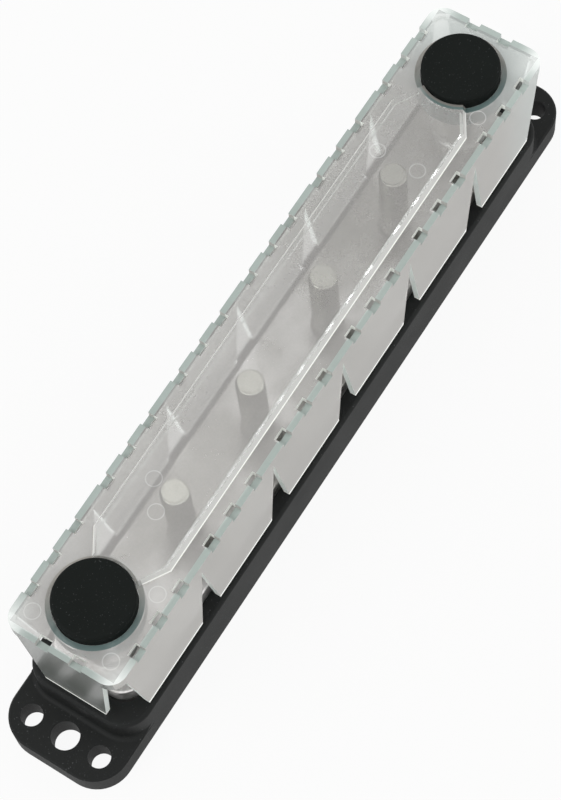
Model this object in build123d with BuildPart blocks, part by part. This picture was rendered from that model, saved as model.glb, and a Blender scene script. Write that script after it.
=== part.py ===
from build123d import *
from math import sqrt
import os

os.makedirs("parts", exist_ok=True)

# Modular busbar with a lift-off cover. Lengths are in millimetres.
# X runs along the row of posts, Z is up, and the origin is the centre of the base's underside.

# Row of posts: bare studs between two end posts, all at one pitch
post_pitch = 36.5
stud_count = 4
stud_radius = 4.0
stud_reach = 29.4
stud_chamfer = 0.8
stud_head_radius = 6.5
stud_head_height = 3.0
stud_collar_radius = 4.8
end_stud_clearance = 0.7
press_clearance = 0.02
thread_clearance = 0.05

# Bar
bar_width = 27.6
bar_thickness = 6.0
bar_overhang = 11.5
bar_corner = 7.0
bar_edge = 0.6

# Base
base_height = 18.0
base_wall = 3.0
base_deck = 5.0
base_top_edge = 1.2
rib_thickness = 2.0
ear_height = 8.4
body_corner = 8.8
ear_length = 14.95
ear_corner = 10.3
ear_edge = 0.5
ear_cove = 1.6
ear_hole_inset = 8.05
ear_hole_spread = 22.34
ear_hole_radius = 3.2
ear_centre_radius = 4.05
head_pocket_clearance = 0.3
head_boss_wall = 2.5
screw_boss_wall = 1.7

# Screws that hold the bar down from below
screw_radius = 2.5
screw_length = 16.0
screw_head_radius = 4.5
screw_head_height = 2.8
screw_bite = 4.3
screw_tip_clearance = 0.4
screw_hole_clearance = 0.25
socket_width = 3.0
socket_depth = 1.6

# Cover: plate, rim, break-off tabs and raised panel
bar_to_tab = 2.24
bar_to_end_tab = 3.65
cover_setback = 0.56
cover_end_setback = 1.45
cover_corner = 5.0
plate_thickness = 2.0
tab_wall = 1.8
rim_height = 4.0
tabs_per_side = 6
corner_land = 4.37
tab_taper = 4.45
tab_gap = 3.35
end_corner_land = 4.64
end_tab_taper = 3.44
notch_width = 3.83
notch_spacing = 10.04
end_notch_spacing = 10.3
notch_slit = 1.15
panel_rise = 2.0
panel_slope = 1.0
panel_margin = 5.7
panel_wall = 1.6
panel_straight_gap = 17.25
panel_taper_run = 9.6
panel_taper_drop = 6.0
stud_headroom = 2.0

# Wells in the cover for the knobs
knob_radius = 11.15
knob_stand = 3.9
knob_edge = 1.0
knob_wall = 2.2
knob_clearance = 0.25
well_wall = 1.45
well_depth = 4.9
well_floor = 2.1
hub_radius = 5.7
hub_clearance = 0.3
hub_reach = 4.6
bush_radius = 6.6
bush_groove = 0.5
seat_clearance = 0.2

# Hardware on the end posts
washer_radius = 8.0
washer_thickness = 1.6
spring_radius = 7.1
spring_thickness = 2.0
spring_gap = 1.6
nut_flats = 13.0
nut_height = 6.5
spacer_wall = 2.0
ring_thickness = 0.9
ring_width = 2.4
ring_groove = 0.8
ring_gap = 5.0
ring_clearance = 0.3

# Heights and places that follow from the sizes above
bar_top = base_height + bar_thickness
stud_top = bar_top + stud_reach
cover_top = stud_top + stud_headroom + panel_wall - panel_rise
plate_bottom = cover_top - plate_thickness
tab_top = cover_top - rim_height
tab_bottom = base_height + tab_gap
panel_top = cover_top + panel_rise
floor_top = cover_top - well_depth
floor_bottom = floor_top - well_floor
knob_top = cover_top + knob_stand
knob_bottom = floor_top + seat_clearance
spacer_top = floor_bottom - seat_clearance
hub_bottom = floor_bottom - hub_reach + well_floor
ring_top = floor_bottom - ring_clearance
bush_top = knob_top - knob_wall
end_stud_top = bush_top - end_stud_clearance

end_post_x = post_pitch * (stud_count + 1) / 2
stud_places = [post_pitch * (index - (stud_count - 1) / 2) for index in range(stud_count)]
post_places = [-end_post_x] + stud_places + [end_post_x]
screw_places = [post_pitch * (index - stud_count / 2) for index in range(stud_count + 1)]
rib_places = sorted(post_places + screw_places)
sides = [("left", -end_post_x), ("right", end_post_x)]

cover_width = bar_width + 2 * (bar_to_tab + tab_wall)
bar_length = 2 * (end_post_x + bar_overhang)
cover_length = bar_length + 2 * (bar_to_end_tab + tab_wall)
base_width = cover_width + 2 * cover_setback
body_length = cover_length + 2 * cover_end_setback
base_length = body_length + 2 * ear_length
ear_hole_x = base_length / 2 - ear_hole_inset
tab_pitch = (cover_length - 2 * corner_land) / tabs_per_side
tab_places = [tab_pitch * (index - (tabs_per_side - 1) / 2) for index in range(tabs_per_side)]
well_radius = knob_radius + knob_clearance
collar_radius = well_radius + well_wall
screw_tip = base_height + screw_bite
screw_seat = screw_tip - screw_length
screw_boss_radius = screw_head_radius + head_pocket_clearance + screw_boss_wall
stud_boss_radius = stud_head_radius + head_pocket_clearance + head_boss_wall


def upright(x):
    """Plane of a turned profile: its origin on the post at x, its second direction up."""
    return Plane(origin=(x, 0, 0), x_dir=(1, 0, 0), z_dir=(0, -1, 0))


def post_axis(x):
    """Vertical axis of the post at x."""
    return Axis((x, 0, 0), (0, 0, 1))


def level(x, z):
    """Level plane with its origin on the post at x."""
    return Plane(origin=(x, 0, z))


# Hollow corner that rounds the foot of the raised body where it stands on the ears
with BuildPart() as ear_coves:
    corner_x = body_length / 2 - body_corner
    corner_y = base_width / 2 - body_corner
    for x in (-corner_x, corner_x):
        for y in (-corner_y, corner_y):
            with BuildSketch(Plane(origin=(x, y, 0), x_dir=(1, 0, 0), z_dir=(0, -1, 0))):
                with BuildLine():
                    CenterArc((body_corner + ear_cove, ear_height + ear_cove), ear_cove, 180, 90)
                    Polyline(
                        (body_corner + ear_cove, ear_height),
                        (body_corner - base_wall, ear_height),
                        (body_corner - base_wall, ear_height + ear_cove),
                        (body_corner, ear_height + ear_cove),
                    )
                make_face()
            revolve(axis=Axis((x, y, 0), (0, 0, 1)))
    with BuildSketch(Plane.XZ.offset(-corner_y)):
        with BuildLine():
            CenterArc((body_length / 2 + ear_cove, ear_height + ear_cove), ear_cove, 180, 90)
            Polyline(
                (body_length / 2 + ear_cove, ear_height),
                (body_length / 2 - base_wall, ear_height),
                (body_length / 2 - base_wall, ear_height + ear_cove),
                (body_length / 2, ear_height + ear_cove),
            )
        make_face()
    extrude(amount=2 * corner_y)
    mirror(about=Plane.YZ)
    with BuildSketch():
        Rectangle(base_length, base_width)
    extrude(amount=base_height, mode=Mode.INTERSECT)

# Base: one moulding, a raised body on a plate whose ends are the mounting ears
with BuildPart() as base:
    with BuildSketch():
        RectangleRounded(base_length, base_width, ear_corner)
    extrude(amount=ear_height)
    chamfer(base.faces().sort_by(Axis.Z)[-1].edges(), ear_edge)
    with BuildSketch(Plane.XY.offset(ear_height / 2)):
        RectangleRounded(body_length, base_width, body_corner)
    extrude(amount=base_height - ear_height / 2)
    fillet(base.faces().sort_by(Axis.Z)[-1].edges(), base_top_edge)
    add(ear_coves.part)
    # Hollow underside, with a rib under every post and screw and one along the middle
    with BuildSketch():
        RectangleRounded(body_length - 2 * base_wall, base_width - 2 * base_wall, body_corner - base_wall)
        Rectangle(body_length, rib_thickness, mode=Mode.SUBTRACT)
        for x in rib_places:
            with Locations((x, 0)):
                Rectangle(rib_thickness, base_width, mode=Mode.SUBTRACT)
        for x in post_places:
            with Locations((x, 0)):
                Circle(stud_boss_radius, mode=Mode.SUBTRACT)
        for x in screw_places:
            with Locations((x, 0)):
                Circle(screw_boss_radius, mode=Mode.SUBTRACT)
    extrude(amount=base_height - base_deck, mode=Mode.SUBTRACT)
    # Pockets for the stud heads
    with BuildSketch(Plane.XY.offset(base_height)):
        for x in post_places:
            with Locations((x, 0)):
                Circle(stud_head_radius + head_pocket_clearance)
    extrude(amount=-stud_head_height - head_pocket_clearance, mode=Mode.SUBTRACT)
    # Screw holes, sunk from below
    with BuildSketch():
        for x in screw_places:
            with Locations((x, 0)):
                Circle(screw_radius + screw_hole_clearance)
    extrude(amount=base_height, mode=Mode.SUBTRACT)
    with BuildSketch():
        for x in screw_places:
            with Locations((x, 0)):
                Circle(screw_head_radius + head_pocket_clearance)
    extrude(amount=screw_seat, mode=Mode.SUBTRACT)
    # Mounting holes in both ears
    with BuildSketch():
        with GridLocations(2 * ear_hole_x, ear_hole_spread, 2, 2):
            Circle(ear_hole_radius)
        with GridLocations(2 * ear_hole_x, 0, 2, 1):
            Circle(ear_centre_radius)
    extrude(amount=ear_height, mode=Mode.SUBTRACT)

base.part.label = "base"
export_step(base.part, "parts/base.step")

# Bar: flat tinned bar with rounded corners, drilled for the studs and tapped from below for the screws
with BuildPart() as busbar:
    with BuildSketch(Plane.XY.offset(base_height)):
        RectangleRounded(bar_length, bar_width, bar_corner)
    extrude(amount=bar_thickness)
    fillet(busbar.faces().sort_by(Axis.Z)[-1].edges(), bar_edge)
    with BuildSketch(Plane.XY.offset(base_height)):
        for x in post_places:
            with Locations((x, 0)):
                Circle(stud_collar_radius + press_clearance)
    extrude(amount=bar_thickness, mode=Mode.SUBTRACT)
    with BuildSketch(Plane.XY.offset(base_height)):
        for x in screw_places:
            with Locations((x, 0)):
                Circle(screw_radius + press_clearance)
    extrude(amount=screw_bite + screw_tip_clearance, mode=Mode.SUBTRACT)

busbar.part.label = "busbar"
export_step(busbar.part, "parts/busbar.step")

# Studs pressed into the bar, with their heads in the base's pockets
stud_names = [f"stud_{index + 1}" for index in range(stud_count)]
studs = [(name, x, stud_top) for name, x in zip(stud_names, stud_places)]
studs += [(f"end_stud_{side}", x, end_stud_top) for side, x in sides]
for name, x, top in studs:
    with BuildPart() as stud:
        with BuildSketch(level(x, base_height)):
            Circle(stud_head_radius)
        extrude(amount=-stud_head_height)
        with BuildSketch(level(x, base_height)):
            Circle(stud_collar_radius)
        extrude(amount=bar_thickness)
        with BuildSketch(level(x, bar_top)):
            Circle(stud_radius)
        extrude(amount=top - bar_top)
        chamfer(stud.faces().sort_by(Axis.Z)[-1].edges(), stud_chamfer)
    stud.part.label = name
    export_step(stud.part, f"parts/{name}.step")

# Socket screws from below, one midway between every two posts
with BuildPart() as bar_screws:
    for x in screw_places:
        with BuildSketch(level(x, screw_seat)):
            Circle(screw_radius)
        extrude(amount=screw_length)
        with BuildSketch(level(x, screw_seat)):
            Circle(screw_head_radius)
        extrude(amount=-screw_head_height)
        with BuildSketch(level(x, screw_seat - screw_head_height)):
            RegularPolygon(socket_width / 2, 6, major_radius=False)
        extrude(amount=socket_depth, mode=Mode.SUBTRACT)

bar_screws.part.label = "bar_screws"
export_step(bar_screws.part, "parts/bar_screws.step")


def panel_outline(inset):
    """Outline of the raised panel, tapered towards the two wells, drawn in from its foot by inset."""
    half_width = cover_width / 2 - panel_margin - inset
    straight = end_post_x - panel_straight_gap
    end_x = straight + panel_taper_run
    end_y = half_width - panel_taper_drop
    corners = [(straight, half_width), (end_x, end_y), (end_x, -end_y), (straight, -half_width)]
    return corners + [(-x, y) for x, y in reversed(corners)]


# Shape of the raised panel, and of the space under it
with BuildPart() as panel_outside:
    with BuildSketch(Plane.XY.offset(cover_top)):
        Polygon(*panel_outline(0), align=None)
    with BuildSketch(Plane.XY.offset(panel_top)):
        Polygon(*panel_outline(panel_slope), align=None)
    loft()

with BuildPart() as panel_inside:
    with BuildSketch(Plane.XY.offset(plate_bottom)):
        Polygon(*panel_outline(panel_wall - panel_slope / 2), align=None)
    with BuildSketch(Plane.XY.offset(panel_top - panel_wall)):
        Polygon(*panel_outline(panel_wall + panel_slope / 2), align=None)
    loft()
    with BuildSketch(Plane.XY.offset(plate_bottom)):
        for side, x in sides:
            with Locations((x, 0)):
                Circle(collar_radius)
    extrude(amount=panel_top - plate_bottom, mode=Mode.SUBTRACT)

# Cover: one clear moulding
with BuildPart() as cover:
    with BuildSketch(Plane.XY.offset(tab_top)):
        RectangleRounded(cover_length, cover_width, cover_corner)
    extrude(amount=rim_height)
    with BuildSketch(Plane.XY.offset(tab_top)):
        RectangleRounded(cover_length - 2 * tab_wall, cover_width - 2 * tab_wall, cover_corner - tab_wall)
    extrude(amount=rim_height - plate_thickness, mode=Mode.SUBTRACT)
    add(panel_outside.part)
    add(panel_inside.part, mode=Mode.SUBTRACT)
    # Break-off tabs along both sides and at both ends
    with BuildSketch(Plane.XZ.offset(-cover_width / 2)):
        for x in tab_places:
            Polygon(
                (x - tab_pitch / 2, tab_top),
                (x + tab_pitch / 2, tab_top),
                (x + tab_pitch / 2 - tab_taper, tab_bottom),
                (x - tab_pitch / 2 + tab_taper, tab_bottom),
                align=None,
            )
    extrude(amount=tab_wall)
    mirror(about=Plane.XZ)
    end_tab_half = cover_width / 2 - end_corner_land
    with BuildSketch(Plane.YZ.offset(cover_length / 2)):
        Polygon(
            (end_tab_half, tab_top),
            (-end_tab_half, tab_top),
            (end_tab_taper - end_tab_half, tab_bottom),
            (end_tab_half - end_tab_taper, tab_bottom),
            align=None,
        )
    extrude(amount=-tab_wall)
    mirror(about=Plane.YZ)
    # Wells for the knobs
    for side, x in sides:
        with BuildSketch(level(x, floor_bottom)):
            Circle(collar_radius)
        extrude(amount=cover_top - floor_bottom)
    for side, x in sides:
        with BuildSketch(level(x, floor_top)):
            Circle(well_radius)
        extrude(amount=panel_top - floor_top, mode=Mode.SUBTRACT)
        with BuildSketch(level(x, floor_bottom)):
            Circle(hub_radius + hub_clearance)
        extrude(amount=well_floor, mode=Mode.SUBTRACT)
    # Notches as deep as the plate leave each tab hanging on short bridges
    notch_depth = tab_wall + notch_slit
    for edge in (-1, 1):
        with BuildSketch(Plane.XY.offset(plate_bottom)):
            for x in tab_places:
                for step in (-1, 0, 1):
                    with Locations((x + step * notch_spacing, edge * (cover_width - notch_depth) / 2)):
                        Rectangle(notch_width, notch_depth)
            for step in (-0.5, 0.5):
                with Locations((edge * (cover_length - notch_depth) / 2, step * end_notch_spacing)):
                    Rectangle(notch_depth, notch_width)
        extrude(amount=plate_thickness, mode=Mode.SUBTRACT)

cover.part.label = "cover"
export_step(cover.part, "parts/cover.step")

# Hardware on each end post, from the bar up, then the knob with its bush and ring
for side, x in sides:
    washer_top = bar_top + washer_thickness
    with BuildPart() as washer:
        with BuildSketch(level(x, bar_top)):
            Circle(washer_radius)
            Circle(stud_radius + 2 * thread_clearance, mode=Mode.SUBTRACT)
        extrude(amount=washer_thickness)
    washer.part.label = f"washer_{side}"
    export_step(washer.part, f"parts/washer_{side}.step")

    spring_top = washer_top + spring_thickness
    with BuildPart() as spring_washer:
        with BuildSketch(level(x, washer_top)):
            Circle(spring_radius)
            Circle(stud_radius + 2 * thread_clearance, mode=Mode.SUBTRACT)
            with Locations((0, spring_radius / 2)):
                Rectangle(spring_gap, spring_radius, mode=Mode.SUBTRACT)
        extrude(amount=spring_thickness)
    spring_washer.part.label = f"spring_washer_{side}"
    export_step(spring_washer.part, f"parts/spring_washer_{side}.step")

    nut_top = spring_top + nut_height
    nut_corner = nut_flats / sqrt(3)
    corner_drop = (nut_corner - nut_flats / 2) / sqrt(3)
    with BuildPart() as nut:
        with BuildSketch(level(x, spring_top)):
            RegularPolygon(nut_flats / 2, 6, major_radius=False)
        extrude(amount=nut_height)
        with BuildSketch(upright(x)):
            Polygon(
                (0, spring_top),
                (nut_flats / 2, spring_top),
                (nut_corner, spring_top + corner_drop),
                (nut_corner, nut_top - corner_drop),
                (nut_flats / 2, nut_top),
                (0, nut_top),
                align=None,
            )
        revolve(axis=post_axis(x), mode=Mode.INTERSECT)
        with BuildSketch(level(x, spring_top)):
            Circle(stud_radius + thread_clearance)
        extrude(amount=nut_height, mode=Mode.SUBTRACT)
    nut.part.label = f"nut_{side}"
    export_step(nut.part, f"parts/nut_{side}.step")

    ring_radius = hub_radius - ring_groove + ring_width
    pocket_radius = ring_radius + hub_clearance
    pocket_depth = hub_reach - well_floor + seat_clearance
    with BuildPart() as spacer:
        with BuildSketch(level(x, nut_top)):
            Circle(pocket_radius + spacer_wall)
        extrude(amount=spacer_top - nut_top)
        with BuildSketch(level(x, nut_top)):
            Circle(stud_radius + thread_clearance)
        extrude(amount=spacer_top - nut_top, mode=Mode.SUBTRACT)
        with BuildSketch(level(x, spacer_top)):
            Circle(pocket_radius)
        extrude(amount=-pocket_depth, mode=Mode.SUBTRACT)
    spacer.part.label = f"spacer_{side}"
    export_step(spacer.part, f"parts/spacer_{side}.step")

    with BuildPart() as bush:
        with BuildSketch(upright(x)):
            Polygon(
                (stud_radius + thread_clearance, hub_bottom),
                (hub_radius, hub_bottom),
                (hub_radius, ring_top - ring_thickness),
                (hub_radius - ring_groove, ring_top - ring_thickness),
                (hub_radius - ring_groove, ring_top),
                (hub_radius, ring_top),
                (hub_radius, knob_bottom),
                (bush_radius, knob_bottom),
                (bush_radius, (knob_bottom + bush_top) / 2 - bush_groove),
                (bush_radius - bush_groove, (knob_bottom + bush_top) / 2),
                (bush_radius, (knob_bottom + bush_top) / 2 + bush_groove),
                (bush_radius, bush_top),
                (stud_radius + thread_clearance, bush_top),
                align=None,
            )
        revolve(axis=post_axis(x))
    bush.part.label = f"knob_bush_{side}"
    export_step(bush.part, f"parts/knob_bush_{side}.step")

    with BuildPart() as retaining_ring:
        with BuildSketch(level(x, ring_top)):
            Circle(ring_radius)
            Circle(hub_radius - ring_groove, mode=Mode.SUBTRACT)
            with Locations((0, ring_radius / 2)):
                Rectangle(ring_gap, ring_radius, mode=Mode.SUBTRACT)
        extrude(amount=-ring_thickness)
    retaining_ring.part.label = f"retaining_ring_{side}"
    export_step(retaining_ring.part, f"parts/retaining_ring_{side}.step")

    with BuildPart() as knob:
        with BuildSketch(level(x, knob_bottom)):
            Circle(knob_radius)
        extrude(amount=knob_top - knob_bottom)
        fillet(knob.faces().sort_by(Axis.Z)[-1].edges(), knob_edge)
        with BuildSketch(upright(x)):
            Polygon(
                (0, knob_bottom),
                (bush_radius, knob_bottom),
                (bush_radius, (knob_bottom + bush_top) / 2 - bush_groove),
                (bush_radius - bush_groove, (knob_bottom + bush_top) / 2),
                (bush_radius, (knob_bottom + bush_top) / 2 + bush_groove),
                (bush_radius, bush_top),
                (0, bush_top),
                align=None,
            )
        revolve(axis=post_axis(x), mode=Mode.SUBTRACT)
    knob.part.label = f"knob_{side}"
    export_step(knob.part, f"parts/knob_{side}.step")
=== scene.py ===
"""Looks of the modular busbar: finishes, rounded mouldings, cut threads, light and camera."""

from math import radians, tau

import bmesh
import bpy
from mathutils import Matrix, Quaternion, Vector


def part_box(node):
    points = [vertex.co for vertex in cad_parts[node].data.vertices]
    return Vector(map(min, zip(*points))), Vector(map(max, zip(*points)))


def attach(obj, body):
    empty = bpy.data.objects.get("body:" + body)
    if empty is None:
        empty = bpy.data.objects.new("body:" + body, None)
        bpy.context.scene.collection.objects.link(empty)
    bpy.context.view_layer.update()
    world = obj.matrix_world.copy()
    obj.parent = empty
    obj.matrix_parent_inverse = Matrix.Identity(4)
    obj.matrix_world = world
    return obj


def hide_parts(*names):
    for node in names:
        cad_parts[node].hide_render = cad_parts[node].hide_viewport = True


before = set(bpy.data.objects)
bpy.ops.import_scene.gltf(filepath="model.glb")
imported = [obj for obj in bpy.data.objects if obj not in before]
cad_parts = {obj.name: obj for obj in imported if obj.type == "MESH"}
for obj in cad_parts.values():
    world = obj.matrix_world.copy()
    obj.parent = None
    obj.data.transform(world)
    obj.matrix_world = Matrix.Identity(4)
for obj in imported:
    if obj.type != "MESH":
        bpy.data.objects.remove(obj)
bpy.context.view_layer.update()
MM = 0.001

# The photograph's view: where the camera stands, what it looks at, and its turn about that line
CAMERA_PLACE = Vector((-213.36, -175.10, 618.30)) * MM
CAMERA_AIM = Vector((-19.03, -10.32, 55.0)) * MM
CAMERA_ROLL = radians(-8.6)
CAMERA_LENS = 105.53
SENSOR_HEIGHT = 36.0

# Places and sizes of the posts, in millimetres
END_POST = 91.25
STUD_RADIUS = 4.0
STUD_COLLAR_RADIUS = 4.8
STUD_HEAD_RADIUS = 6.5
STUD_CHAMFER = 0.8
STUD_TOP = 53.4
THREAD_PITCH = 1.25
THREAD_DEPTH = 0.62

# Outline of the thread over one pitch: how deep it lies, and at what share of the pitch
THREAD_OUTLINE = ((THREAD_DEPTH, 0.0), (THREAD_DEPTH, 0.12), (0.0, 0.46), (0.0, 0.62), (THREAD_DEPTH, 1.0))
THREAD_STEPS = 36
ROUND_SEGMENTS = 48

# Rounding of the moulded and cut edges, in millimetres, and the angles that tell edges from curves
MOULD_EDGE = 0.22
COVER_EDGE = 0.26
BAR_EDGE = 0.15
SMOOTH_ANGLE = radians(35)
CRISP_ANGLE = radians(28)
FLAT_ANGLE = radians(0.6)

# Heights and widths of the cover's zones, in millimetres
COVER_HALF_WIDTH = 17.84
COVER_HALF_LENGTH = 108.2
PLATE_TOP = 55.0
TAB_TOP = 51.0
TAB_BOTTOM = 21.35
TAB_WALL = 1.8
NOTCH_REACH = 3.2
HEM_HEIGHT = 1.1
COLLAR = 12.85
RING_EDGE = 11.4
LIP_EDGE = 12.1
LIP_RISE = 0.2
SLOPE_START = 0.1
LINE_RISE = 0.5
PIN_RADIUS = 2.2

# Where soft changes over the parts begin and end, in millimetres
PIN_FADE = (0.08, 0.22)
RING_FADE = (-9, 9)
CORNER_ALONG = (96, 107)
CORNER_ACROSS = (9, 17)
FAR_END = (-70, 110)
FAR_PLATE = (76, 100)
FAR_SIDE = (78, 108)
BAR_SHADE = (-40, 105)
POST_SHADE = (3, 12)
STUD_END_SHADE = (-60, 70)
STUD_FOOT_SHADE = (22, 46)

# Where a face counts as upright, flat, facing an end or a side, slanted, or a steep slope
UPRIGHT_STEP = (0.2, 0.5)
FLAT_STEP = (0.5, 0.9)
FACING_STEP = (0.7, 0.8)
SLANT_STEP = (0.03, 0.10)
SLOPE_STEP = (0.55, 0.65)

# The clear plastic: its veil and glass, the tint of its depth, and the painted highlight glow along its edges
VEIL = 0.28
GLASS_ROUGHNESS = 0.12
GLASS_INDEX = 1.3
DEPTH_TINT = (0.0, 0.62, 0.58, 1)
DEPTH_DENSITY = 8.0
PAINTED_EDGE_GLOW = (0.13, 0.14, 0.13, 1)
TAB_LINE_LOSS = 0.6

# Direction across a knob, from the darker, painted-shade side of its ring to its paler one
RING_TURN = (0.77, 0.63)

# How dark the painted shade on the tin gets at the far end and round the posts, and how far that painted
# shadow lies off each post, in mm
TIN_SHADE = 0.85
SHADE_OFF = (3, 6)
SHADE_SQUEEZE = 0.6

# Brightness of the sky, and the share of the table's look that is plain white
SKY_STRENGTH = 0.88
TABLE_WHITE = 0.93
TABLE_SIZE = 6
TABLE_DROP = 0.0002

# Places of the fine rings that the mould's ejector pins leave on the cover
PIN_MARKS = (
    (-101.4, 12.5),
    (-102.0, -12.3),
    (-81.0, -12.5),
    (-62.9, -0.2),
    (-55.5, 5.4),
    (57.4, 6.4),
    (57.5, -6.3),
    (81.3, -11.4),
)

SIDES = ("left", "right")
STUDS = ("stud_1", "stud_2", "stud_3", "stud_4")
END_STUDS = tuple(f"end_stud_{side}" for side in SIDES)


class Value:
    """A number that varies over a surface. Its operators add Math nodes."""

    def __init__(self, finish, socket):
        self.finish = finish
        self.socket = socket

    def __add__(self, other):
        return self.finish.maths("ADD", self, other)

    def __sub__(self, other):
        return self.finish.maths("SUBTRACT", self, other)

    def __rsub__(self, other):
        return self.finish.maths("SUBTRACT", other, self)

    def __mul__(self, other):
        return self.finish.maths("MULTIPLY", self, other)

    __radd__ = __add__
    __rmul__ = __mul__


class Finish:
    """A material in the making: its nodes, its maths and its main shader."""

    def __init__(self, name):
        self.material = bpy.data.materials.new(name)
        self.material.use_nodes = True
        self.tree = self.material.node_tree
        self.shader = self.tree.nodes["Principled BSDF"]
        self.output = self.tree.nodes["Material Output"]
        self.place = self.node("ShaderNodeTexCoord", {}, {}, "Object")

    def feed(self, socket, value):
        """Links a value to a socket, or sets a plain number or colour on it."""
        if isinstance(value, Value):
            self.tree.links.new(value.socket, socket)
        else:
            socket.default_value = value

    def node(self, kind, settings, inputs, output=0):
        """Adds one node: its settings first, then the values or links of its sockets."""
        made = self.tree.nodes.new(kind)
        for name, setting in settings.items():
            setattr(made, name, setting)
        for name, value in inputs.items():
            self.feed(made.inputs[name], value)
        return Value(self, made.outputs[output])

    def maths(self, operation, first, second=0.0, clamp=False):
        settings = {"operation": operation, "use_clamp": clamp}
        return self.node("ShaderNodeMath", settings, {0: first, 1: second})

    def smooth(self, value, low, high):
        """0 below low and 1 above high, with a soft step between."""
        settings = {"interpolation_type": "SMOOTHSTEP"}
        inputs = {"Value": value, "From Min": low, "From Max": high}
        return self.node("ShaderNodeMapRange", settings, inputs)

    def fade(self, value, limits):
        """Soft step of a length in metres, between two limits in millimetres."""
        low, high = limits
        return self.smooth(value, low * MM, high * MM)

    def distance(self, off_x, off_y):
        return self.maths("SQRT", off_x * off_x + off_y * off_y)

    def stretched(self, scale):
        """Object coordinates, stretched by a scale for each axis."""
        return self.node("ShaderNodeMapping", {}, {"Vector": self.place, "Scale": scale})

    def axes(self, vector):
        """The three parts of a vector."""
        parts = self.tree.nodes.new("ShaderNodeSeparateXYZ")
        self.feed(parts.inputs[0], vector)
        return [Value(self, parts.outputs[axis]) for axis in "XYZ"]

    def over(self, value, limit):
        """1 where a length in metres is above a limit in millimetres, with a step 0.1 mm wide."""
        return self.smooth(value, (limit - 0.05) * MM, (limit + 0.05) * MM)

    def under(self, value, limit):
        return 1 - self.over(value, limit)

    def size(self, value):
        return self.maths("ABSOLUTE", value)

    def largest(self, first, second):
        return self.maths("MAXIMUM", first, second)

    def noise(self, scale, detail=2.0, roughness=0.5, place=None):
        """Noise from 0 to 1 with so many waves to the metre."""
        inputs = {"Vector": place or self.place, "Scale": scale, "Detail": detail, "Roughness": roughness}
        return self.node("ShaderNodeTexNoise", {}, inputs, "Fac")

    def blend(self, factor, first, second):
        """Colour between two colours, by a factor from 0 to 1."""
        mix = self.tree.nodes.new("ShaderNodeMix")
        mix.data_type = "RGBA"
        self.feed(mix.inputs["Factor"], factor)
        self.feed(mix.inputs[6], first)
        self.feed(mix.inputs[7], second)
        return Value(self, mix.outputs[2])

    def bump(self, height, strength, distance):
        """Roughens the surface by a height from 0 to 1 that spans a distance in metres."""
        inputs = {"Height": height, "Strength": strength, "Distance": distance}
        self.feed(self.shader.inputs["Normal"], self.node("ShaderNodeBump", {}, inputs))

    def mix(self, factor, first, second):
        """Ends the material with a mix of two shaders."""
        mixed = self.tree.nodes.new("ShaderNodeMixShader")
        self.feed(mixed.inputs["Fac"], factor)
        self.tree.links.new(first, mixed.inputs[1])
        self.tree.links.new(second, mixed.inputs[2])
        self.tree.links.new(mixed.outputs["Shader"], self.output.inputs["Surface"])

    def set(self, **values):
        """Sets sockets of the main shader; an underscore stands for a space."""
        for name, value in values.items():
            self.feed(self.shader.inputs[name.replace("_", " ")], value)


def moulded_black(name, colour, shine, scuff, grain):
    """Matte black moulded plastic with a spark-eroded grain and pale dust in its roughest spots."""
    finish = Finish(name)
    broad = finish.noise(60, detail=4)
    fine = finish.noise(grain, detail=3, roughness=0.65)
    specks = finish.smooth(finish.noise(grain * 0.8, detail=1), 0.70, 0.78)
    base = finish.blend(broad, colour, [channel * 1.5 for channel in colour[:3]] + [1])
    finish.set(
        Base_Color=finish.blend(specks * scuff, base, (0.16, 0.165, 0.17, 1)),
        Roughness=0.50 + broad * 0.16,
        Specular_IOR_Level=shine,
    )
    finish.bump(fine, strength=0.35, distance=0.12 * MM)
    return finish.material


def tinned_copper():
    """Dull tin plating: broad bright and dark patches painted in as reflections, finer mottling, painted
    shade at the far end and round each post, and a soft shine.
    """
    finish = Finish("tinned_copper")
    painted_reflection_clouds = finish.smooth(finish.noise(30, detail=3, place=finish.stretched((0.8, 1, 1))), 0.42, 0.56)
    patches = finish.smooth(finish.noise(260, detail=4), 0.35, 0.65)
    lines = finish.noise(900, detail=3, place=finish.stretched((0.08, 1, 1)))
    sparkle = finish.smooth(finish.noise(2600, detail=2, roughness=0.7), 0.40, 0.62)
    # Painted reflection: broad light and dark patches in the tin's colour stand in for what the metal
    # reflects
    base = finish.blend(painted_reflection_clouds, (0.48, 0.47, 0.445, 1), (0.97, 0.95, 0.935, 1))
    x, y, _ = finish.axes(finish.place)
    # Painted shade: the tin darkens towards the far end, and a painted shadow and reflection of each stud
    # lies just off its foot
    shade = finish.fade(x, BAR_SHADE) * TIN_SHADE
    for stud in STUDS:
        low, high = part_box(stud)
        off_x = x - (low.x + high.x) / 2 + SHADE_OFF[0] * MM
        off_y = y + SHADE_OFF[1] * MM
        apart = finish.maths("SQRT", off_x * off_x + off_y * off_y * SHADE_SQUEEZE)
        shade = finish.largest(shade, (1 - finish.fade(apart, POST_SHADE)) * TIN_SHADE)
    base = finish.blend(shade, base, (0.09, 0.09, 0.075, 1))
    finish.set(
        Base_Color=finish.blend(patches * 0.15 + sparkle * 0.12, base, (0.36, 0.35, 0.33, 1)),
        Metallic=1.0,
        Roughness=0.26 + patches * 0.14 + painted_reflection_clouds * 0.06,
    )
    relief = painted_reflection_clouds * 0.65 + patches * 0.2 + sparkle * 0.1 + lines * 0.05
    finish.bump(relief, strength=0.5, distance=0.45 * MM)
    return finish.material


def plated_steel(name, colour, rough):
    """Bright plating with faint handling marks."""
    finish = Finish(name)
    marks = finish.noise(500, detail=4)
    finish.set(
        Base_Color=finish.blend(marks, colour, [channel * 0.86 for channel in colour[:3]] + [1]),
        Metallic=1.0,
        Roughness=rough + marks * 0.12,
    )
    finish.bump(marks, strength=0.15, distance=0.08 * MM)
    return finish.material


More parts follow.
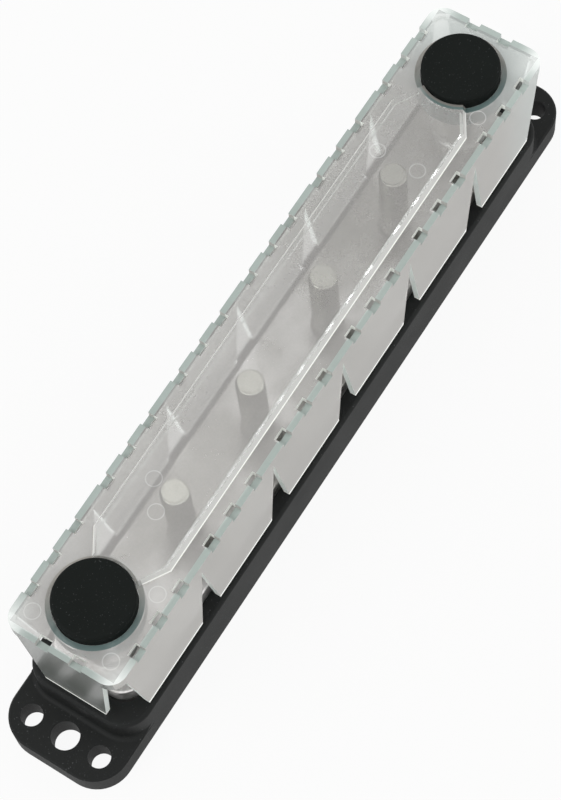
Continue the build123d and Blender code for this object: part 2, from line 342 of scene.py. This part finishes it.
def plated_stud():
    """Dull plated thread, painted near-black as shade that deepens downwards, with a painted highlight on its
    top end that fades into painted shade towards the far end.
    """
    finish = Finish("stud_plating")
    along, _, height = finish.axes(finish.place)
    # Painted highlight on the lit top end, fading into painted shade towards the far end; the rod is painted
    # near-black as shade, darker still towards its foot
    end = finish.over(height, STUD_TOP - STUD_CHAMFER)
    foot = 1 - finish.fade(height, STUD_FOOT_SHADE)
    marks = finish.noise(500, detail=4)
    top = finish.blend(finish.fade(along, STUD_END_SHADE), (0.70, 0.70, 0.62, 1), (0.34, 0.34, 0.30, 1))
    rod = finish.blend(foot, (0.05, 0.052, 0.04, 1), (0.12, 0.12, 0.105, 1))
    finish.set(
        Base_Color=finish.blend(end, rod, top),
        Metallic=1.0,
        Roughness=0.36 + marks * 0.12,
    )
    finish.bump(marks, strength=0.15, distance=0.08 * MM)
    return finish.material


def cover_zones(finish):
    """The zones of the cover that differ in looks, by name, each from 0 outside it to 1 inside it."""
    x, y, z = finish.axes(finish.place)
    turn = finish.axes(finish.node("ShaderNodeNewGeometry", {}, {}, "True Normal"))
    across, along, up = [finish.size(part) for part in turn]
    upright = 1 - finish.smooth(up, *UPRIGHT_STEP)
    flat = finish.smooth(turn[2], *FLAT_STEP)
    faces_end = finish.smooth(across, *FACING_STEP)
    faces_side = finish.smooth(along, *FACING_STEP)

    # Wells, with the ring and the lip round each knob, both darkened with painted shade
    from_post = finish.size(x) - END_POST * MM
    reach = finish.distance(from_post, y)
    in_well = finish.under(reach, COLLAR + 0.05)
    toward = from_post * finish.maths("SIGN", x) * RING_TURN[0] + y * RING_TURN[1]
    near = 1 - finish.fade(toward, RING_FADE)
    under_rim = finish.under(z, PLATE_TOP + LIP_RISE)
    ring = in_well * finish.over(reach, RING_EDGE) * finish.largest(under_rim, near)
    lip = in_well * finish.over(reach, RING_EDGE) * finish.under(reach, LIP_EDGE)
    lip = lip * finish.over(z, PLATE_TOP + LIP_RISE)

    # Rim and tabs: the band along the outside, as wide as the tabs are thick
    past_side = finish.size(y) - COVER_HALF_WIDTH * MM
    past_end = finish.size(x) - COVER_HALF_LENGTH * MM
    past = finish.largest(past_side, past_end)
    in_wall = finish.over(past, -TAB_WALL)
    above = finish.over(z, TAB_TOP)
    cut = upright * above * finish.over(past, -NOTCH_REACH) * finish.under(past, -TAB_WALL) * (1 - in_well)
    side = upright * in_wall * (1 - cut)
    sawn = finish.over(past_side, -TAB_WALL) * faces_end
    sawn = finish.largest(sawn, finish.over(past_end, -TAB_WALL) * faces_side)
    sawn = sawn * side * (1 - above)
    end_tab = side * finish.over(past_end, -TAB_WALL) * faces_end

    # Slopes round the raised panel, and the painted highlights along them and along the roundings
    slanted = finish.smooth(1 - finish.largest(finish.largest(across, along), up), *SLANT_STEP)
    slanted = slanted * (1 - in_well)
    slope = slanted * (1 - finish.smooth(up, *SLOPE_STEP)) * finish.over(z, PLATE_TOP + SLOPE_START)
    line = finish.largest(slanted * (1 - slope), slope * finish.under(z, PLATE_TOP + LINE_RISE))
    line = line * (1 - in_wall * above) * (1 - (1 - above) * TAB_LINE_LOSS)

    pins = 0.0
    for pin_x, pin_y in PIN_MARKS:
        apart = finish.distance(x - pin_x * MM, y - pin_y * MM)
        pins = (1 - finish.fade(finish.size(apart - PIN_RADIUS * MM), PIN_FADE)) + pins

    far_end = finish.fade(x, FAR_END)
    corner = finish.fade(finish.size(x), CORNER_ALONG) * finish.fade(finish.size(y), CORNER_ACROSS) * flat
    return {
        "slanted": slanted,
        "slope": slope,
        "far_end": far_end,
        "far_plate": finish.fade(x, FAR_PLATE) * flat * (1 - in_well),
        "side": side,
        "shaded_near_end_tab": end_tab * (1 - far_end),
        "far_side": side * finish.fade(x, FAR_SIDE),
        "sawn": sawn,
        "lid": in_wall * above * flat,
        "cut": cut,
        "corner": corner,
        "pins": pins * flat,
        "line": line,
        "hem": in_wall * finish.under(z, TAB_BOTTOM + HEM_HEIGHT),
        "near": near,
        "ring": ring,
        "near_ring": ring * near,
        "lip": lip,
    }


def clear_plastic():
    """Milky-clear moulding: a pale veil over frosted glass, thicker on the tabs, with painted highlights and
    a painted glow along the edges, and painted shade on the near end tab, round each knob and towards the far
    end.
    """
    finish = Finish("clear_plastic")
    zones = cover_zones(finish)
    cloud = finish.noise(60, detail=3)
    grain = finish.noise(1800, detail=2)
    # Painted shade on the ring round each knob: dark teal on its near side, dark grey-brown on its far side
    ring_shade_tint = finish.blend(zones["near"], (0.30, 0.28, 0.25, 1), (0.085, 0.135, 0.13, 1))
    # Each zone, what it adds to the veil, and its tint
    layers = (
        ("slope", 0.68, (0.62, 0.62, 0.60, 1)),
        ("far_plate", 0.16, (0.66, 0.71, 0.69, 1)),
        ("side", 0.42, (0.46, 0.445, 0.42, 1)),
        # Painted shade: the near end tab is tinted near-black
        ("shaded_near_end_tab", 0.0, (0.13, 0.14, 0.13, 1)),
        ("far_side", 0.0, (0.60, 0.65, 0.63, 1)),
        # Painted highlights: the sawn faces, notch cuts, bright lines and tab hems are tinted pale
        ("sawn", 0.10, (0.80, 0.85, 0.83, 1)),
        ("lid", 0.36, (0.44, 0.505, 0.475, 1)),
        ("cut", 0.40, (0.80, 0.81, 0.77, 1)),
        ("corner", 0.12, (0.82, 0.85, 0.83, 1)),
        ("pins", 0.07, (0.85, 0.85, 0.83, 1)),
        ("line", 0.34, (0.84, 0.84, 0.81, 1)),
        ("hem", 0.30, (0.92, 0.92, 0.89, 1)),
        # Painted shade: the ring and the lip are tinted dark, and the near side of the ring is veiled more
        ("ring", 0.30, ring_shade_tint),
        ("near_ring", 0.25, None),
        ("lip", 0.35, (0.17, 0.165, 0.15, 1)),
    )
    veil = VEIL + cloud * 0.06 + grain * 0.04
    colour = finish.blend(cloud, (0.70, 0.68, 0.655, 1), (0.78, 0.76, 0.74, 1))
    # Painted shade: the veil's colour darkens towards the far end
    colour = finish.blend(zones["far_end"] * 0.5, colour, (0.54, 0.53, 0.505, 1))
    for name, thickness, tint in layers:
        veil = veil + zones[name] * thickness
        if tint:
            colour = finish.blend(zones[name], colour, tint)
    # Painted highlight: the bright lines, tab hems, notch cuts and sawn faces glow, though no lamp lights
    # them
    glow = finish.largest(
        finish.largest(zones["line"], zones["hem"]),
        finish.largest(zones["cut"], zones["sawn"]),
    )
    finish.set(
        Base_Color=colour,
        Roughness=0.30,
        Specular_IOR_Level=0.5,
        Emission_Color=finish.blend(glow, (0, 0, 0, 1), PAINTED_EDGE_GLOW),
        Emission_Strength=1.0,
    )
    glass = finish.tree.nodes.new("ShaderNodeBsdfPrincipled")
    glass.inputs["Base Color"].default_value = (1, 1, 1, 1)
    glass.inputs["Roughness"].default_value = GLASS_ROUGHNESS
    glass.inputs["IOR"].default_value = GLASS_INDEX
    glass.inputs["Transmission Weight"].default_value = 1.0
    # Light that leaves the plastic passes the veil, apart from the slopes, so that it counts only once
    leaving = finish.node("ShaderNodeNewGeometry", {}, {}, "Backfacing")
    veiled = finish.maths("MINIMUM", veil, 1.0) * (1 - leaving * (1 - zones["slanted"]))
    finish.mix(veiled, glass.outputs["BSDF"], finish.shader.outputs["BSDF"])
    depth = finish.tree.nodes.new("ShaderNodeVolumeAbsorption")
    depth.inputs["Color"].default_value = DEPTH_TINT
    depth.inputs["Density"].default_value = DEPTH_DENSITY
    finish.tree.links.new(depth.outputs["Volume"], finish.output.inputs["Volume"])
    return finish.material


def pale_floor():
    """Table that is white to the camera and in what shines, and grey where it is seen through the cover."""
    finish = Finish("pale_floor")
    finish.set(Base_Color=(0.5, 0.5, 0.49, 1), Roughness=0.9)
    glow = finish.tree.nodes.new("ShaderNodeEmission")
    glow.inputs["Strength"].default_value = 1.0
    path = finish.tree.nodes.new("ShaderNodeLightPath")
    rays = ("Camera", "Glossy", "Transmission")
    seen, shone, through = [Value(finish, path.outputs[f"Is {ray} Ray"]) for ray in rays]
    share = finish.maths("ADD", seen, shone * (1 - through), clamp=True)
    finish.mix(share * TABLE_WHITE, finish.shader.outputs["BSDF"], glow.outputs["Emission"])
    return finish.material


def dress(node, material):
    """Gives a CAD node its finish."""
    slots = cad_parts[node].data.materials
    slots.clear()
    slots.append(material)


def settle(name, shape, material, body):
    """Makes a piece of a finished bmesh, with soft shading between its crisp edges."""
    mesh = bpy.data.meshes.new(name)
    shape.to_mesh(mesh)
    shape.free()
    mesh.polygons.foreach_set("use_smooth", [True] * len(mesh.polygons))
    mesh.set_sharp_from_angle(angle=SMOOTH_ANGLE)
    mesh.materials.append(material)
    piece = bpy.data.objects.new(name, mesh)
    bpy.context.scene.collection.objects.link(piece)
    flat = piece.modifiers.new("flat_faces", "WEIGHTED_NORMAL")
    flat.keep_sharp = True
    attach(piece, body)
    return piece


def rounded_copy(node, edge, material, body):
    """Stands for a CAD node: its own form, with the small rounding that a moulded or cut edge has."""
    shape = bmesh.new()
    shape.from_mesh(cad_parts[node].data)
    bmesh.ops.remove_doubles(shape, verts=shape.verts, dist=1e-6)
    bmesh.ops.dissolve_limit(shape, angle_limit=FLAT_ANGLE, verts=shape.verts, edges=shape.edges)
    crisp = [line for line in shape.edges if line.is_manifold and line.calc_face_angle() > CRISP_ANGLE]
    bmesh.ops.bevel(
        shape,
        geom=crisp,
        offset=edge * MM,
        segments=2,
        profile=0.5,
        affect="EDGES",
        material=-1,
        clamp_overlap=True,
    )
    piece = settle(f"{node}_form", shape, material, body)
    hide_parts(node)
    return piece


def threaded_stud(node, material):
    """Stands for a stud: head and press collar as in the CAD, and a helical thread cut along the rod."""
    low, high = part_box(node)
    centre = (low + high) / 2
    bar_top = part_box("busbar")[1].z
    base_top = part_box("base")[1].z
    rod = STUD_RADIUS * MM
    pitch = THREAD_PITCH * MM
    # The thread starts below the bar's top and ends past the rod's, and both ends are cut off below
    turns = int((high.z - bar_top) / pitch) + 3
    start = bar_top - 1.5 * pitch
    shape = bmesh.new()
    ring = [shape.verts.new((rod - depth * MM, 0, start + share * pitch)) for depth, share in THREAD_OUTLINE]
    lines = [shape.edges.new(pair) for pair in zip(ring, ring[1:])]
    bmesh.ops.spin(
        shape,
        geom=ring + lines,
        cent=(0, 0, 0),
        axis=(0, 0, 1),
        dvec=(0, 0, pitch / THREAD_STEPS),
        angle=tau * turns,
        steps=THREAD_STEPS * turns,
        use_merge=False,
    )
    bmesh.ops.remove_doubles(shape, verts=shape.verts, dist=1e-7)
    for height, side in ((bar_top, -1), (high.z, 1)):
        whole = shape.verts[:] + shape.edges[:] + shape.faces[:]
        bmesh.ops.bisect_plane(
            shape,
            geom=whole,
            plane_co=(0, 0, height),
            plane_no=(0, 0, side),
            clear_outer=True,
            dist=1e-8,
        )
        bmesh.ops.holes_fill(shape, edges=[line for line in shape.edges if line.is_boundary], sides=0)
    # The top thread runs out in the chamfer
    for point in shape.verts:
        reach = rod - max(0.0, point.co.z - (high.z - STUD_CHAMFER * MM))
        flat = Vector((point.co.x, point.co.y, 0))
        if flat.length > reach:
            flat *= reach / flat.length
            point.co.x, point.co.y = flat.x, flat.y
    bmesh.ops.recalc_face_normals(shape, faces=shape.faces)
    for radius, bottom, top in (
        (STUD_COLLAR_RADIUS, base_top, bar_top),
        (STUD_HEAD_RADIUS, low.z, base_top),
    ):
        bmesh.ops.create_cone(
            shape,
            cap_ends=True,
            segments=ROUND_SEGMENTS,
            radius1=radius * MM,
            radius2=radius * MM,
            depth=top - bottom,
            matrix=Matrix.Translation((0, 0, (bottom + top) / 2)),
        )
    bmesh.ops.translate(shape, verts=shape.verts, vec=(centre.x, centre.y, 0))
    piece = settle(f"{node}_thread", shape, material, "base")
    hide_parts(node)
    return piece


def studio():
    """White table, soft light from all around, and two softboxes."""
    bpy.ops.mesh.primitive_plane_add(size=TABLE_SIZE, location=(0, 0, -TABLE_DROP))
    table = bpy.context.object
    table.name = "table"
    table.data.materials.append(pale_floor())
    world = bpy.data.worlds.new("studio")
    bpy.context.scene.world = world
    world.use_nodes = True
    sky = world.node_tree.nodes["Background"]
    sky.inputs["Color"].default_value = (1, 1, 1, 1)
    sky.inputs["Strength"].default_value = SKY_STRENGTH
    softbox("key_light", Vector((-0.9, 0.5, 1.1)), size=0.9, power=9)
    softbox("fill_light", Vector((0.9, -0.9, 0.9)), size=0.8, power=5)


def softbox(name, place, size, power):
    """Square lamp that faces the object."""
    lamp = bpy.data.lights.new(name, "AREA")
    lamp.size = size
    lamp.energy = power
    box = bpy.data.objects.new(name, lamp)
    box.location = place
    box.rotation_euler = (-place).to_track_quat("-Z", "Y").to_euler()
    bpy.context.scene.collection.objects.link(box)


def camera():
    """Camera at the photograph's place, with its turn about the line of sight."""
    lens = bpy.data.cameras.new("view")
    lens.sensor_fit = "VERTICAL"
    lens.sensor_height = SENSOR_HEIGHT
    lens.lens = CAMERA_LENS
    lens.clip_start = 0.01
    view = bpy.data.objects.new("view", lens)
    view.location = CAMERA_PLACE
    sight = (CAMERA_AIM - CAMERA_PLACE).to_track_quat("-Z", "Y")
    view.rotation_euler = (sight @ Quaternion((0, 0, 1), CAMERA_ROLL)).to_euler()
    bpy.context.scene.collection.objects.link(view)
    bpy.context.scene.camera = view


camera()
studio()

base_black = moulded_black("base_black", (0.010, 0.0108, 0.0105, 1), shine=0.14, scuff=0.4, grain=2600)
knob_black = moulded_black("knob_black", (0.0055, 0.0068, 0.0062, 1), shine=0.06, scuff=0.3, grain=3600)
bar_tin = tinned_copper()
stud_tin = plated_stud()
stainless = plated_steel("stainless", (0.62, 0.62, 0.61, 1), rough=0.24)
brass = plated_steel("turned_brass", (0.76, 0.58, 0.30, 1), rough=0.22)
clear = clear_plastic()

rounded_copy("base", MOULD_EDGE, base_black, "base")
rounded_copy("busbar", BAR_EDGE, bar_tin, "base")
rounded_copy("cover", COVER_EDGE, clear, "cover")
for stud in STUDS + END_STUDS:
    threaded_stud(stud, stud_tin)
dress("bar_screws", stainless)
for side in SIDES:
    rounded_copy(f"knob_{side}", MOULD_EDGE, knob_black, f"knob_{side}")
    dress(f"knob_bush_{side}", brass)
    for part in ("washer", "spring_washer", "nut", "spacer", "retaining_ring"):
        dress(f"{part}_{side}", stainless)

bpy.context.scene.view_settings.view_transform = "Standard"
